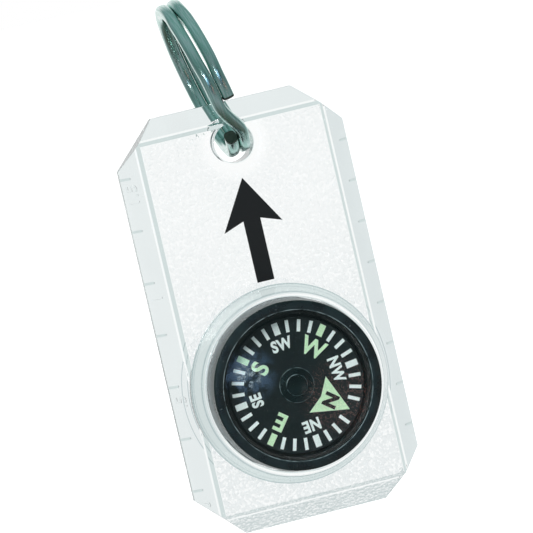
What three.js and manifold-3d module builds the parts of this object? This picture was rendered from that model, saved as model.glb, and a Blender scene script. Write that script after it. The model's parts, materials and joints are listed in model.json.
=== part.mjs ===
// Baseplate compass on a split ring: a bevelled clear plate with a hole for the ring, and a
// liquid-filled capsule with a magnetic card, set in a raised collar of the plate.
// Millimetres, +Z up. The plate hangs upright with its dial towards -Y; the origin is the
// point inside the top of the split ring that a hook or cord would touch.
import * as THREE from "three";
import { mergeVertices } from "three/addons/utils/BufferGeometryUtils.js";
import Module from "manifold-3d";

const wasm = await Module();
wasm.setup();

// ---- driving dimensions -------------------------------------------------------------------

// plate; heights H_ are measured from the plate's back face towards the viewer (-Y)
const PLATE_WIDTH = 27.9;
const PLATE_LENGTH = 50.8;
const PLATE_THICK = 3.8;
const EDGE_THICK = 1.0; // what the bevels leave of the rim
const BEVEL_RUN = 2.35; // width of the bevels, seen from the front
const H_BEVEL = 3.1; // where they meet the steep step round the raised front panel
const STEP_RUN = 0.5;
const CORNER_CUT = 5.25; // legs of the 45 degree corners
const HOLE_R = 2.35;
const HOLE_FROM_TOP = 4.9;
const CAPSULE_FROM_TOP = 34.35;
const FIT_GAP = 0.05; // clearance between pieces that are pressed or glued together

// raised collar and the pocket that holds the capsule
const COLLAR_FOOT_R = 12;
const COLLAR_RIM_R = 10.9;
const H_COLLAR = 6.3;
const POCKET_R = 10.4;
const H_POCKET_FLOOR = 1.1;

// ruler grooves moulded in the two long bevels
const GROOVE_WIDTH = 0.3;
const GROOVE_LENGTH = 1.5;
const GROOVE_DEPTH = 0.12;
const INCH = 25.4;
const INCH_SCALE = { side: -1, top: 19.1, pitch: INCH / 4, count: 7 };
const METRIC_SCALE = { side: 1, top: 17.7, pitch: 5, count: 8 };

// capsule housing, lens and what seals them
const HOUSING_FOOT_R = 10.3;
const HOUSING_RIM_R = 10.1;
const HOUSING_BORE_R = 8.45;
const ADHESIVE_THICK = 0.1;
const ADHESIVE_WIDTH = 2;
const FLOOR_THICK = 1.0;
const H_RIM = 9.3;
const LENS_SEAT_R = 8.9;
const H_LENS_SEAT = 8.25;
const SEAL_THICK = 0.2;
const LENS_DOME = 0.65; // rise of the outer surface above its edge
const LENS_HOLLOW = 0.3; // rise of the inner surface
const PLUG_R = 0.6;
const PLUG_AT = 5.6; // distance of the filling hole from the centre

// pivot and card
const BOSS_R = 1.2;
const H_BOSS = 3.3;
const PIN_R = 0.3;
const PIN_TIP = 0.6; // length of its conical point
const H_PIN_TIP = 6.85;
const PIN_SEAT_DEPTH = 1.2;
const CARD_R = 8.05;
const H_CARD_TOP = 7.9;
const FACE_THICK = 0.15;
const DISC_THICK = 0.5;
const HUB_R = 2.1;
const HUB_DROP = 1.7; // how far the hub reaches below the disc
const CAP_R = 2.1;
const CAP_KNOB_R = 1.25;
const JEWEL_R = 0.85;
const JEWEL_HEIGHT = 1.1;
const CUP_R = 0.45; // mouth of the jewel's conical cup
const CUP_GAP = 0.1; // shown between the pin's point and the bottom of the cup
const MAGNET = { length: 9, width: 1.4, height: 1.2, offset: 3.1 };
const CARD_HEADING = 127.6; // clockwise from the plate's top to the card's north, in degrees

// split ring: two turns of flattened wire side by side
const RING_R = 10;
const WIRE_RADIAL = 1.7;
const WIRE_AXIAL = 1.44;
const TURN_PITCH = 1.48;
const SPLAY = 0.2; // the turns part by this much more over one stretch of the viewer's side
const SPLAY_FROM = 92; // that stretch, in degrees round the ring from its lowest point
const SPLAY_TO = 160;
const SPLAY_EASE = 0.25; // share of the stretch over which they part, and close again
const RING_BELOW_HOLE = 1.65; // the ring's outside reaches this far past the hole's centre
const RING_OFFSET = 0.33; // from the hole's centre, across the ring
const RING_LEAN = 13.1; // degrees towards -X from the plate's centre line
const RING_YAW = 2.2; // degrees about its own long axis, which turns its near side towards -X
const CROSS_START = 39; // degrees round the ring from its lowest point, towards the viewer
const CROSS_SPAN = 34; // degrees over which the wire crosses from one turn to the other
const CUT_GAP = 1; // degrees between a cut end of the wire and the crossing
const WIRE_CORNER = 0.45;

// fineness
const ROUND_SEGMENTS = 64;
const SMALL_SEGMENTS = 24;
const DOME_STEPS = 6;
const RING_STEPS = 104;

// ---- helpers --------------------------------------------------------------------------------

const radians = THREE.MathUtils.degToRad;

// A three.js geometry as a manifold-3d solid; matrix places it first.
function solid(geometry, matrix = new THREE.Matrix4()) {
  const bare = geometry.clone().applyMatrix4(matrix);
  bare.deleteAttribute("normal");
  bare.deleteAttribute("uv");
  const merged = mergeVertices(bare, 1e-4);
  return new wasm.Manifold(
    new wasm.Mesh({
      numProp: 3,
      vertProperties: new Float32Array(merged.attributes.position.array),
      triVerts: new Uint32Array(merged.index.array),
    }),
  );
}

// A manifold-3d solid as a three.js geometry.
function geometryOf(made) {
  const mesh = made.getMesh();
  const geometry = new THREE.BufferGeometry();
  geometry.setAttribute("position", new THREE.BufferAttribute(mesh.vertProperties, 3));
  geometry.setIndex(new THREE.BufferAttribute(mesh.triVerts, 1));
  geometry.computeVertexNormals();
  return geometry;
}

// A turned solid about Y from [radius, height] pairs; heights are H_ values.
function turned(pairs, segments = ROUND_SEGMENTS) {
  const profile = pairs.map(([radius, height]) => new THREE.Vector2(radius, BACK_Y - height));
  return solid(new THREE.LatheGeometry(profile.reverse(), segments));
}

// A plain cylinder between two heights, moved to (x, z).
function disc(radius, low, high, segments = ROUND_SEGMENTS, x = 0, z = 0) {
  const made = turned([[0, low], [radius, low], [radius, high], [0, high]], segments);
  return made.translate([x, 0, z]);
}

// A ring between two radii and two heights.
function washer(inner, outer, low, high, segments = ROUND_SEGMENTS) {
  const pairs = [[inner, low], [outer, low], [outer, high], [inner, high], [inner, low]];
  return turned(pairs, segments);
}

// An outline of [a, b] points extruded by depth along +Z, then placed by a matrix.
function extruded(points, depth, matrix) {
  const shape = new THREE.Shape(points.map(([a, b]) => new THREE.Vector2(a, b)));
  return solid(new THREE.ExtrudeGeometry(shape, { depth, bevelEnabled: false }), matrix);
}

// A matrix whose columns are where the extrusion's own x, y and z point, from a corner.
function axes(x, y, z, corner) {
  const matrix = new THREE.Matrix4().makeBasis(
    new THREE.Vector3(...x),
    new THREE.Vector3(...y),
    new THREE.Vector3(...z),
  );
  return matrix.setPosition(...corner);
}

// Points along a shallow dome from its edge to the axis, rising by rise above height.
function dome(radius, height, rise) {
  const sphere = (radius * radius + rise * rise) / (2 * rise);
  return Array.from({ length: DOME_STEPS + 1 }, (_, i) => {
    const r = radius * (1 - i / DOME_STEPS);
    return [r, height + rise - (sphere - Math.sqrt(sphere * sphere - r * r))];
  });
}

// ---- the plate ------------------------------------------------------------------------------

// In these functions the hole's centre is the local origin and z runs up the plate.
const PLATE_TOP = HOLE_FROM_TOP;
const PLATE_BOTTOM = PLATE_TOP - PLATE_LENGTH;
const PLATE_MIDDLE = (PLATE_TOP + PLATE_BOTTOM) / 2;
const CAPSULE_Z = PLATE_TOP - CAPSULE_FROM_TOP;
const BACK_Y = PLATE_THICK / 2;
const FRONT_Y = -PLATE_THICK / 2;
const EDGE_Y = BACK_Y - EDGE_THICK;

// The section between two edges: rim, bevel, step and panel, and the same back again.
function bevelledSection(low, high) {
  const rise = [
    [0, BACK_Y], [0, EDGE_Y], [BEVEL_RUN, BACK_Y - H_BEVEL], [BEVEL_RUN + STEP_RUN, FRONT_Y],
  ];
  const fall = rise.toReversed();
  return [...rise.map(([a, y]) => [low + a, y]), ...fall.map(([a, y]) => [high - a, y])];
}

// The blank: the outline, the width section and the length section cut from one another.
function bevelledBlank() {
  const w = PLATE_WIDTH / 2;
  const c = CORNER_CUT;
  const outline = [
    [-w, PLATE_BOTTOM + c], [-w + c, PLATE_BOTTOM], [w - c, PLATE_BOTTOM], [w, PLATE_BOTTOM + c],
    [w, PLATE_TOP - c], [w - c, PLATE_TOP], [-w + c, PLATE_TOP], [-w, PLATE_TOP - c],
  ];
  const across = bevelledSection(-w, w);
  const along = bevelledSection(PLATE_BOTTOM, PLATE_TOP);
  const prism = extruded(
    outline, PLATE_THICK, axes([1, 0, 0], [0, 0, 1], [0, -1, 0], [0, BACK_Y, 0]),
  );
  const width = extruded(
    across, PLATE_LENGTH, axes([1, 0, 0], [0, 1, 0], [0, 0, 1], [0, 0, PLATE_BOTTOM]),
  );
  const length = extruded(
    along, PLATE_WIDTH, axes([0, 0, 1], [0, 1, 0], [-1, 0, 0], [w, 0, 0]),
  );
  return prism.intersect(width).intersect(length);
}

// One groove per mark, cut square to the bevel from the outer edge inwards.
function rulerGrooves({ side, top, pitch, count }) {
  const slope = Math.atan2(H_BEVEL - EDGE_THICK, BEVEL_RUN);
  const groove = new THREE.BoxGeometry(2 * GROOVE_LENGTH, 2 * GROOVE_DEPTH, GROOVE_WIDTH);
  return Array.from({ length: count }, (_, i) => {
    const place = new THREE.Matrix4().makeTranslation(
      (side * PLATE_WIDTH) / 2, EDGE_Y, PLATE_MIDDLE + top - i * pitch,
    );
    place.multiply(new THREE.Matrix4().makeRotationZ(side * slope));
    return solid(groove, place);
  });
}

function baseplate() {
  const collar = turned([
    [0, EDGE_THICK], [COLLAR_FOOT_R, EDGE_THICK], [COLLAR_FOOT_R, PLATE_THICK],
    [COLLAR_RIM_R, H_COLLAR], [0, H_COLLAR],
  ]).translate([0, 0, CAPSULE_Z]);
  let made = bevelledBlank();
  for (const groove of [...rulerGrooves(INCH_SCALE), ...rulerGrooves(METRIC_SCALE)]) {
    made = made.subtract(groove);
  }
  return made
    .add(collar)
    .subtract(disc(POCKET_R, H_POCKET_FLOOR, H_COLLAR + 1, ROUND_SEGMENTS, 0, CAPSULE_Z))
    .subtract(disc(HOLE_R, -1, PLATE_THICK + 1, SMALL_SEGMENTS * 2));
}

// ---- the capsule, about its own centre ------------------------------------------------------

const H_ADHESIVE = H_POCKET_FLOOR + FIT_GAP / 2;
const H_HOUSING = H_ADHESIVE + ADHESIVE_THICK + FIT_GAP / 2;
const H_INSIDE = H_HOUSING + FLOOR_THICK;

function capsuleAdhesive() {
  const outer = HOUSING_FOOT_R - 2 * FIT_GAP;
  return washer(outer - ADHESIVE_WIDTH, outer, H_ADHESIVE, H_ADHESIVE + ADHESIVE_THICK);
}

function capsuleHousing() {
  return turned([
    [0, H_HOUSING], [HOUSING_FOOT_R, H_HOUSING], [HOUSING_FOOT_R, H_COLLAR],
    [HOUSING_RIM_R, H_RIM], [LENS_SEAT_R, H_RIM], [LENS_SEAT_R, H_LENS_SEAT],
    [HOUSING_BORE_R, H_LENS_SEAT], [HOUSING_BORE_R, H_INSIDE], [BOSS_R, H_INSIDE],
    [BOSS_R, H_BOSS], [0, H_BOSS],
  ])
    .subtract(disc(PLUG_R, 0, H_INSIDE + 1, SMALL_SEGMENTS, 0, -PLUG_AT))
    .subtract(disc(PIN_R + FIT_GAP, H_BOSS - PIN_SEAT_DEPTH, H_BOSS + 1, SMALL_SEGMENTS));
}

function fillerPlug() {
  const radius = PLUG_R - FIT_GAP;
  return disc(radius, H_HOUSING + FIT_GAP, H_INSIDE - FIT_GAP, SMALL_SEGMENTS, 0, -PLUG_AT);
}

function lensSeal() {
  const low = H_LENS_SEAT + FIT_GAP / 2;
  return washer(HOUSING_BORE_R, LENS_SEAT_R - FIT_GAP, low, low + SEAL_THICK);
}

function capsuleLens() {
  const radius = LENS_SEAT_R - FIT_GAP;
  const low = H_LENS_SEAT + SEAL_THICK + FIT_GAP;
  const inside = dome(HOUSING_BORE_R, low, LENS_HOLLOW).reverse();
  const outside = dome(radius, H_RIM - FIT_GAP, LENS_DOME);
  return turned([...inside, [radius, low], ...outside]);
}

function pivotPin() {
  const foot = H_BOSS - PIN_SEAT_DEPTH + FIT_GAP;
  const shoulder = H_PIN_TIP - PIN_TIP;
  return turned([[0, foot], [PIN_R, foot], [PIN_R, shoulder], [0, H_PIN_TIP]], SMALL_SEGMENTS);
}

// ---- the card, about the pivot, with north towards local +Z ---------------------------------

const H_FACE = H_CARD_TOP - FACE_THICK;
const H_DISC_TOP = H_FACE - FIT_GAP;
const H_DISC = H_DISC_TOP - DISC_THICK;

function dialFace() {
  return washer(JEWEL_R, CARD_R, H_FACE, H_CARD_TOP);
}

function cardDisc() {
  const bore = JEWEL_R + FIT_GAP;
  const hubFoot = H_DISC - HUB_DROP;
  return turned([
    [bore, hubFoot], [HUB_R, hubFoot], [HUB_R, H_DISC], [CARD_R - 2 * FIT_GAP, H_DISC],
    [CARD_R - 2 * FIT_GAP, H_DISC_TOP], [bore, H_DISC_TOP], [bore, hubFoot],
  ]);
}

function hubCap() {
  const low = H_CARD_TOP + FIT_GAP / 2;
  const flange = low + 0.15;
  const knob = flange + 0.15;
  return turned(
    [[0, low], [CAP_R, low], [CAP_R, flange], [CAP_KNOB_R, flange], [CAP_KNOB_R, knob], [0, knob]],
    SMALL_SEGMENTS * 2,
  );
}

function jewelBearing() {
  const apex = H_PIN_TIP + CUP_GAP;
  const low = apex - PIN_TIP - CUP_GAP;
  return turned(
    [[0, apex], [CUP_R, low], [JEWEL_R, low], [JEWEL_R, low + JEWEL_HEIGHT], [0, low + JEWEL_HEIGHT]],
    SMALL_SEGMENTS,
  );
}

function magnetBar(side) {
  const { length, width, height, offset } = MAGNET;
  const middle = BACK_Y - (H_DISC - FIT_GAP - height / 2);
  const place = new THREE.Matrix4().makeTranslation(side * offset, middle, 0);
  return solid(new THREE.BoxGeometry(width, height, length), place);
}

// ---- the split ring, about its own centre, lowest point towards local -Z ---------------------

// The wire's centre line: two turns about X, which cross from one side to the other once.
class RingWire extends THREE.Curve {
  angle(t) {
    const first = radians(CROSS_START + CROSS_SPAN + CUT_GAP);
    const last = first + 4 * Math.PI - radians(CROSS_SPAN + 2 * CUT_GAP);
    return THREE.MathUtils.lerp(first, last, t);
  }

  side(t) {
    const a = this.angle(t);
    const start = radians(CROSS_START) + 2 * Math.PI;
    const step = THREE.MathUtils.smoothstep(a, start, start + radians(CROSS_SPAN));
    return (TURN_PITCH + this.splay(a)) * (0.5 - step);
  }

  // How much further the turns stand apart at an angle: nothing, but for one stretch.
  splay(a) {
    const way = ((THREE.MathUtils.radToDeg(a) % 360) - SPLAY_FROM) / (SPLAY_TO - SPLAY_FROM);
    const parted = THREE.MathUtils.smoothstep(way, 0, SPLAY_EASE);
    const closed = THREE.MathUtils.smoothstep(way, 1 - SPLAY_EASE, 1);
    return SPLAY * (parted - closed);
  }

  getPoint(t, target = new THREE.Vector3()) {
    const radius = RING_R - WIRE_RADIAL / 2;
    const a = this.angle(t);
    return target.set(this.side(t), -radius * Math.sin(a), -radius * Math.cos(a));
  }

  getPointAt(t, target) {
    return this.getPoint(t, target);
  }

  // Frames whose normal stays along the ring's axis, so that the section never twists.
  computeFrenetFrames(steps) {
    const frames = { tangents: [], normals: [], binormals: [] };
    for (let i = 0; i <= steps; i++) {
      const ahead = this.getPoint(Math.min(1, (i + 0.5) / steps));
      const behind = this.getPoint(Math.max(0, (i - 0.5) / steps));
      const tangent = ahead.sub(behind).normalize();
      const normal = new THREE.Vector3(1, 0, 0);
      normal.addScaledVector(tangent, -tangent.x).normalize();
      frames.tangents.push(tangent);
      frames.normals.push(normal);
      frames.binormals.push(new THREE.Vector3().crossVectors(tangent, normal));
    }
    return frames;
  }
}

function splitRing() {
  const w = WIRE_AXIAL / 2;
  const h = WIRE_RADIAL / 2;
  const c = WIRE_CORNER;
  const section = new THREE.Shape();
  section.moveTo(-w + c, -h);
  section.lineTo(w - c, -h);
  section.quadraticCurveTo(w, -h, w, -h + c);
  section.lineTo(w, h - c);
  section.quadraticCurveTo(w, h, w - c, h);
  section.lineTo(-w + c, h);
  section.quadraticCurveTo(-w, h, -w, h - c);
  section.lineTo(-w, -h + c);
  section.quadraticCurveTo(-w, -h, -w + c, -h);
  const settings = { steps: RING_STEPS, extrudePath: new RingWire(), curveSegments: 2 };
  return solid(new THREE.ExtrudeGeometry(section, settings));
}

// ---- the assembly ---------------------------------------------------------------------------

const CLEAR = { color: 0xdfeae8, roughness: 0.08, metalness: 0 };
const BLACK = { color: 0x101314, roughness: 0.4, metalness: 0 };
const STEEL = { color: 0x9aa6a5, roughness: 0.25, metalness: 1 };
const BRIGHT_STEEL = { color: 0xc8c8c8, roughness: 0.2, metalness: 1 };
const MAGNET_STEEL = { color: 0x55585a, roughness: 0.5, metalness: 1 };
const RUBBER = { color: 0x1c1c1c, roughness: 0.8, metalness: 0 };
const TAPE = { color: 0xe8e4d8, roughness: 0.7, metalness: 0 };
const RUBY = { color: 0x8c1f3c, roughness: 0.1, metalness: 0 };

function piece(name, made, look) {
  const mesh = new THREE.Mesh(geometryOf(made), new THREE.MeshStandardMaterial(look));
  mesh.name = name;
  return mesh;
}

const ring = new THREE.Group();
ring.add(piece("split_ring", splitRing(), STEEL));
const lean = radians(RING_LEAN);
const up = new THREE.Vector3(-Math.sin(lean), 0, Math.cos(lean));
const across = new THREE.Vector3(Math.cos(lean), 0, Math.sin(lean));
ring.position.copy(up).multiplyScalar(RING_R - RING_BELOW_HOLE);
ring.position.addScaledVector(across, RING_OFFSET);
ring.rotation.set(0, -lean, -radians(RING_YAW), "YZX");

const card = new THREE.Group();
card.add(piece("dial_face", dialFace(), BLACK));
card.add(piece("card_disc", cardDisc(), BLACK));
card.add(piece("hub_cap", hubCap(), BLACK));
card.add(piece("jewel_bearing", jewelBearing(), RUBY));
card.add(piece("magnet_bar_left", magnetBar(-1), MAGNET_STEEL));
card.add(piece("magnet_bar_right", magnetBar(1), MAGNET_STEEL));
card.rotation.y = radians(CARD_HEADING);

const capsule = new THREE.Group();
capsule.add(piece("capsule_adhesive", capsuleAdhesive(), TAPE));
capsule.add(piece("capsule_housing", capsuleHousing(), BLACK));
capsule.add(piece("filler_plug", fillerPlug(), BLACK));
capsule.add(piece("lens_seal", lensSeal(), RUBBER));
capsule.add(piece("capsule_lens", capsuleLens(), CLEAR));
capsule.add(piece("pivot_pin", pivotPin(), BRIGHT_STEEL));
capsule.add(card);
capsule.position.z = CAPSULE_Z;

const compass = new THREE.Group();
compass.add(piece("baseplate", baseplate(), CLEAR));
compass.add(capsule);
compass.add(ring);
const hangPoint = ring.position.clone().addScaledVector(up, RING_R - WIRE_RADIAL);
compass.position.copy(hangPoint).negate();

export default compass;
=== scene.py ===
"""Baseplate compass on a split ring, laid out as a Blender add-on that is run as a script.

Each operator makes one piece, or a group of like pieces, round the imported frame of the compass.
Lengths are in metres. A height is measured from the plate's back face towards its front (-Y).
"""

import json
from math import atan2, cos, pi, radians, sin, tau

import bmesh
import bpy
import numpy as np
from bpy.props import FloatProperty, FloatVectorProperty, IntProperty, PointerProperty
from mathutils import Matrix, Quaternion, Vector


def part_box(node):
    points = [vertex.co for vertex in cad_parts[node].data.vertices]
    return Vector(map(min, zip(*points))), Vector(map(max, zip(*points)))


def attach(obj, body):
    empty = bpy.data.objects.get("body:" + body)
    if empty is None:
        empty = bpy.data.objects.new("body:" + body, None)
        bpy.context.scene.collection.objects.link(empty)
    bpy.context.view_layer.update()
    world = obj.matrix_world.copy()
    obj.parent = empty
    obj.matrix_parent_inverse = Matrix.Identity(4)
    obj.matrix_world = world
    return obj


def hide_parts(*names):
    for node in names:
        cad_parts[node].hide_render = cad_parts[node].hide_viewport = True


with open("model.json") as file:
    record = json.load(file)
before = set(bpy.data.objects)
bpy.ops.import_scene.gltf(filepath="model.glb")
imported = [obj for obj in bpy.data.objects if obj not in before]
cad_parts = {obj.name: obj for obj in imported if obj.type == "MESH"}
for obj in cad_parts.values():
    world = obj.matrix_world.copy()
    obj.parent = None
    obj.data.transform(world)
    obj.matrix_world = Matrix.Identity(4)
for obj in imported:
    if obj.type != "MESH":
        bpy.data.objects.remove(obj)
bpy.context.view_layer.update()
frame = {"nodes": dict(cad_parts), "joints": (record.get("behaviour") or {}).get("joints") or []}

bl_info = {
    "name": "Baseplate compass",
    "version": (1, 0, 0),
    "blender": (4, 5, 0),
    "location": "View3D > Sidebar > Compass",
    "description": "Makes the pieces of a small baseplate compass with its split ring",
    "category": "Object",
}

MM = 0.001
# Points nearer than this are merged, and edges sharper than this many degrees are shaded sharp.
DOUBLES = 1e-7
SHARP = 35


# ---- places taken from the frame --------------------------------------------------------------


def corners(node):
    """Lowest and highest corner of a CAD node, as two arrays."""
    low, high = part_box(node)
    return np.array(low), np.array(high)


PLATE_LOW, PLATE_HIGH = corners("baseplate")
HOUSING_LOW, HOUSING_HIGH = corners("capsule_housing")
BACK = PLATE_HIGH[1]
CENTRE_X = (PLATE_LOW[0] + PLATE_HIGH[0]) / 2
PLATE_MIDDLE_Z = (PLATE_LOW[2] + PLATE_HIGH[2]) / 2
PLATE_WIDTH = PLATE_HIGH[0] - PLATE_LOW[0]
PLATE_LENGTH = PLATE_HIGH[2] - PLATE_LOW[2]
CAPSULE_Z = (HOUSING_LOW[2] + HOUSING_HIGH[2]) / 2
CAPSULE = (CENTRE_X, CAPSULE_Z)
H_COLLAR = BACK - PLATE_LOW[1]
H_RIM = BACK - HOUSING_LOW[1]
H_HOUSING = BACK - HOUSING_HIGH[1]
H_FACE = BACK - corners("dial_face")[0][1]
SWING = next(joint for joint in frame["joints"] if joint["name"] == "plate_swing")
HOLE = (SWING["pos_m"][0], SWING["pos_m"][2])


def round_piece(node):
    """Radius, lowest and highest height of a round CAD node."""
    low, high = corners(node)
    return (high[0] - low[0]) / 2, BACK - high[1], BACK - low[1]


def front(across, up, height, origin=(CENTRE_X, PLATE_MIDDLE_Z)):
    """Points given by distance across and up the plate from an origin, and by height."""
    across, up, height = np.broadcast_arrays(across, up, height)
    return np.stack([origin[0] + across, BACK - height, origin[1] + up], -1)


# ---- sizes and colours that a user may change ---------------------------------------------------


def length(name, description, millimetres):
    """A property for a length."""
    return FloatProperty(name=name, description=description, default=millimetres * MM, unit="LENGTH",
                         precision=5)


def angle(name, description, degrees):
    """A property for an angle."""
    return FloatProperty(name=name, description=description, default=radians(degrees), subtype="ANGLE")


def colour(name, description, default):
    """A property for a colour, as linear red, green and blue."""
    return FloatVectorProperty(name=name, description=description, default=default, subtype="COLOR",
                               min=0.0, max=1.0)


class PlateSizes(bpy.types.PropertyGroup):
    """Sizes of the clear plate."""

    thickness: length("Thickness", "Back face to raised front panel", 3.8)
    edge: length("Edge", "Height of the rim that the bevels leave", 1.0)
    bevel_run: length("Bevel run", "Width of the bevels seen from the front", 2.2)
    bevel_height: length("Bevel height", "Height where a bevel meets the step", 3.1)
    ledge: length("Ledge", "Width of the flat land between a bevel and the step", 0.2)
    step_run: length("Step run", "Width of the step up to the panel", 0.45)
    corner: length("Corner cut", "Legs of the cut corners", 5.25)
    hole_radius: length("Hole radius", "Radius of the hole for the ring", 2.35)
    hole_lead: length("Hole lead-in", "Rounding of the hole at both faces", 0.2)
    collar_foot: length("Collar foot", "Radius of the collar at the panel", 12.0)
    collar_rim: length("Collar rim", "Radius of the collar at its rim", 10.9)
    pocket: length("Pocket radius", "Radius of the pocket for the capsule", 10.4)
    pocket_floor: length("Pocket floor", "Height of the pocket's floor", 1.1)
    rounding: length("Rounding", "Rounding of the moulded edges", 0.06)
    mark_width: length("Mark width", "Width of a ruler mark", 0.32)
    mark_length: length("Mark length", "Length of a ruler mark", 1.5)
    mark_depth: length("Mark depth", "Depth of a ruler mark", 0.14)
    numeral: length("Numeral height", "Height of the ruler's numerals", 1.5)


class CapsuleSizes(bpy.types.PropertyGroup):
    """Sizes of the capsule that holds the card."""

    foot: length("Foot radius", "Radius of the housing in the pocket", 10.3)
    rim: length("Rim radius", "Radius of the housing at its rim", 10.1)
    bore: length("Bore radius", "Radius of the chamber", 8.45)
    seat: length("Seat radius", "Radius of the recess for the lens", 8.9)
    seat_height: length("Seat height", "Height of the shoulder under the lens", 8.25)
    floor: length("Floor", "Thickness of the housing's floor", 1.0)
    dome: length("Dome", "Rise of the lens above its edge", 0.65)
    hollow: length("Hollow", "Rise of the lens's inner face", 0.3)


class DialSizes(bpy.types.PropertyGroup):
    """Sizes of the print on the dial."""

    inner: length("Inner", "Radius where the marks start", 6.3)
    outer: length("Outer", "Radius where the marks end", 7.75)
    fine: length("Fine", "Half the width of a fine mark", 0.21)
    wide: length("Wide", "Half the width of a wide mark", 0.375)
    letter: length("Letter", "Height of E, S and W", 2.15)
    letter_radius: length("Letter radius", "Radius of the middles of E, S and W", 4.8)
    small: length("Small letter", "Height of the letters between them", 1.46)
    small_radius: length("Small letter radius", "Radius of their middles", 5.1)
    north: length("North letter", "Height of the N in the arrowhead", 1.75)
    north_radius: length("North letter radius", "Radius of its middle", 4.45)


class RingSizes(bpy.types.PropertyGroup):
    """Sizes of the split ring and its wire."""

    radius: length("Radius", "Outer radius of the ring", 10.0)
    radial: length("Radial", "Thickness of the wire outwards", 1.7)
    axial: length("Axial", "Width of the wire along the ring's axis", 1.44)
    pitch: length("Pitch", "Distance between the two turns", 1.48)
    splay: length("Splay", "How much more the turns part over one stretch", 0.2)
    splay_from: angle("Splay from", "Where the turns start to part", 92)
    splay_to: angle("Splay to", "Where they have closed again", 160)
    cut_gap: angle("Cut gap", "Between a cut end and the crossing", 1)
    lean: angle("Lean", "Lean of the ring towards -X", 13.1)
    yaw: angle("Yaw", "Turn of the ring about its own long axis", 2.2)
    cross_start: angle("Crossing start", "Where the wire starts to cross", 39)
    cross_span: angle("Crossing span", "Angle over which the wire crosses", 34)
    steps: IntProperty(name="Steps", description="Sections along the wire", default=900)


class Finishes(bpy.types.PropertyGroup):
    """Colours of the finishes."""

    clear: colour("Clear plastic", "Tint of the clear plastic", (0.955, 0.98, 0.975))
    black: colour("Black plastic", "Housing and card", (0.003, 0.010, 0.011))
    ink: colour("White ink", "Scale marks and small letters", (0.88, 1.0, 0.97))
    glow: colour("Luminous paint", "Arrowhead and main letters", (0.66, 0.93, 0.62))
    steel: colour("Ring steel", "Split ring", (0.70, 0.80, 0.79))


class StudioSettings(bpy.types.PropertyGroup):
    """Camera and stage."""

    azimuth: angle("Azimuth", "Camera round the vertical axis", -9.69)
    elevation: angle("Elevation", "Camera above the horizon", 4.28)
    roll: angle("Roll", "Camera about its own line of sight", 13.08)
    distance: length("Distance", "Camera to the point it aims at", 900)
    lens: FloatProperty(name="Lens", description="Focal length in millimetres", default=509.0)
    aim: FloatVectorProperty(name="Aim", description="Point aimed at, from the middle of the plate",
                             default=(1.13 * MM, 2.1 * MM, 4.94 * MM), subtype="TRANSLATION")
    floor_drop: length("Floor drop", "Floor below the compass", 45)


# ---- surfaces ---------------------------------------------------------------------------------


def rounded(points, cut, steps=3):
    """A polyline with its inner corners eased: each corner P becomes the quadratic curve
    (1-t)^2 A + 2t(1-t) P + t^2 B, where A and B lie cut before and after it."""
    points = np.asarray(points, float)
    before, at, after = points[:-2], points[1:-1], points[2:]
    back, ahead = before - at, after - at
    reach_back = np.linalg.norm(back, axis=1)
    reach_ahead = np.linalg.norm(ahead, axis=1)
    cut = np.minimum(np.broadcast_to(cut, reach_back.shape), 0.45 * np.minimum(reach_back, reach_ahead))
    first = at + back * (cut / reach_back)[:, None]
    last = at + ahead * (cut / reach_ahead)[:, None]
    t = np.linspace(0, 1, steps + 1)[None, :, None]
    curve = (1 - t) ** 2 * first[:, None] + 2 * t * (1 - t) * at[:, None] + t**2 * last[:, None]
    return np.concatenate([points[:1], curve.reshape(-1, 2), points[-1:]])


def smooth(t):
    """The smooth step 3t^2 - 2t^3 between 0 and 1."""
    t = np.clip(t, 0, 1)
    return t * t * (3 - 2 * t)


def grid_faces(rows, columns):
    """Quads of a grid whose columns close on themselves."""
    i = np.arange(rows - 1)[:, None] * columns
    j = np.arange(columns)[None, :]
    ahead = (j + 1) % columns
    return np.stack([i + j, i + ahead, i + columns + ahead, i + columns + j], -1).reshape(-1, 4)


def mesh_object(name, points, faces, smooth_angle=SHARP):
    """A mesh object with its doubles merged, its faces outwards and edges sharp past an angle."""
    mesh = bpy.data.meshes.new(name)
    mesh.from_pydata(np.asarray(points).reshape(-1, 3).tolist(), [], faces)
    tidy_mesh(mesh)
    shade(mesh, smooth_angle)
    made = bpy.data.objects.new(name, mesh)
    bpy.context.scene.collection.objects.link(made)
    return made


def read(items, name):
    """One vector for each of a mesh's vertices or polygons, as an array of rows."""
    values = np.empty(len(items) * 3)
    items.foreach_get(name, values)
    return values.reshape(-1, 3)


def tidy_mesh(mesh):
    """Merges doubles and turns the faces outwards."""
    work = bmesh.new()
    work.from_mesh(mesh)
    bmesh.ops.remove_doubles(work, verts=work.verts, dist=DOUBLES)
    bmesh.ops.recalc_face_normals(work, faces=work.faces)
    work.to_mesh(mesh)
    work.free()


def shade(mesh, degrees):
    """Smooth shading, with edges sharper than an angle kept sharp."""
    mesh.polygons.foreach_set("use_smooth", np.ones(len(mesh.polygons), bool))
    mesh.set_sharp_from_angle(angle=radians(degrees))
    mesh.update()


def even_shading(made):
    """Normals weighted by face area, so that large flat faces stay flat beside rounded edges."""
    weighted = made.modifiers.new("Even shading", "WEIGHTED_NORMAL")
    weighted.mode = "FACE_AREA"
    weighted.weight = 50
    weighted.keep_sharp = True
    return made


def flattened(count, power, half_u, half_v):
    """Points of the section |u/a|^p + |v/b|^p = 1, with a and b half its two widths."""
    turn = np.arange(count) * tau / count
    sides = ((np.cos(turn), half_u), (np.sin(turn), half_v))
    return [np.sign(value) * abs(value) ** (2 / power) * half for value, half in sides]


def washer(inner, outer, bottom, top):
    """The closed profile of a flat ring."""
    return [(inner, bottom), (outer, bottom), (outer, top), (inner, top), (inner, bottom)]


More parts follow.
